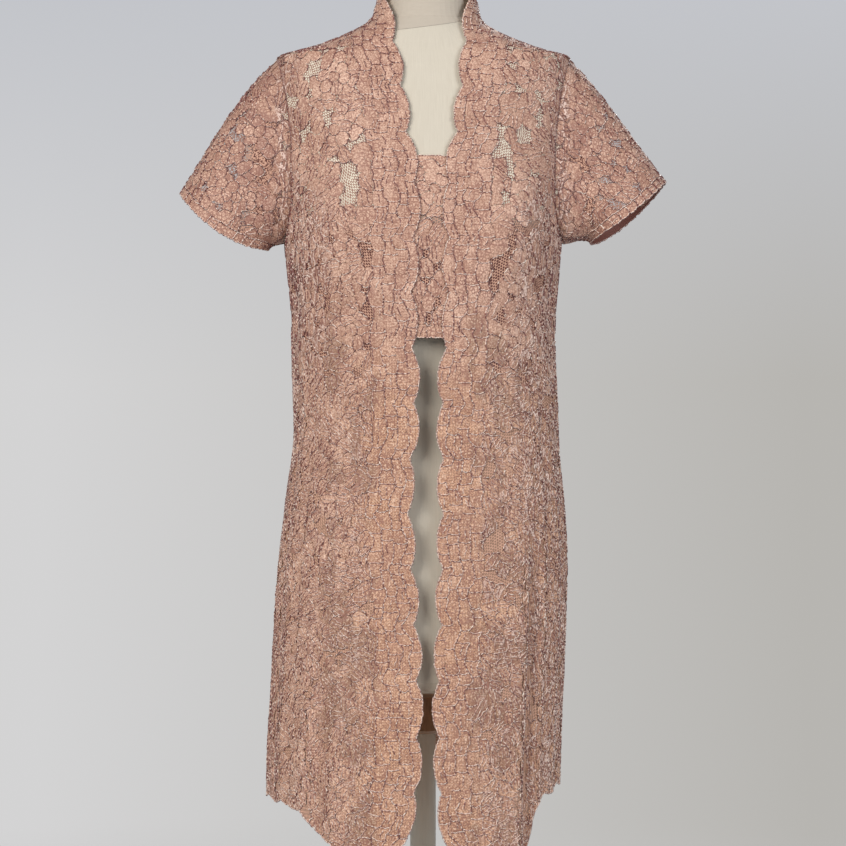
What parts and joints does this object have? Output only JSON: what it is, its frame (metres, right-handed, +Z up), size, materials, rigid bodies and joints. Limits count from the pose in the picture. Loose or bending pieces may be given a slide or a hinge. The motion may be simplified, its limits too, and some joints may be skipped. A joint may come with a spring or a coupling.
{
  "type": "kebaya blouse on dress form",
  "caption": "Long open-front kebaya blouse of corded floral lace with scalloped front edges and short sleeves, worn by a limbless dress form on a pole and round base.",
  "frame": {"origin": "on the floor, under the middle of the base plate and of the sleeves' spread", "axes": "+Z up along the pole; the blouse's front faces -Y; the wearer's left sleeve points to +X"},
  "size_m": [0.605, 0.36, 1.5048],
  "materials": {
    "lace": "matte corded guipure-style lace in dusty rose, with mauve cords and open net grounds",
    "form_cover": "tight cream linen cover",
    "turned_wood": "satin turned wood",
    "stand_enamel": "satin ivory enamel on steel"
  },
  "bodies": {
    "root": {"back": "lace", "front_right": "lace", "front_left": "lace", "centre_panel": "lace", "collar": "lace", "sleeve_right": "lace", "sleeve_left": "lace", "form_torso": "form_cover", "form_neck": "form_cover", "neck_cap": "turned_wood", "pole_socket": "turned_wood", "pole": "stand_enamel", "base": "stand_enamel"}
  },
  "joints": []
}
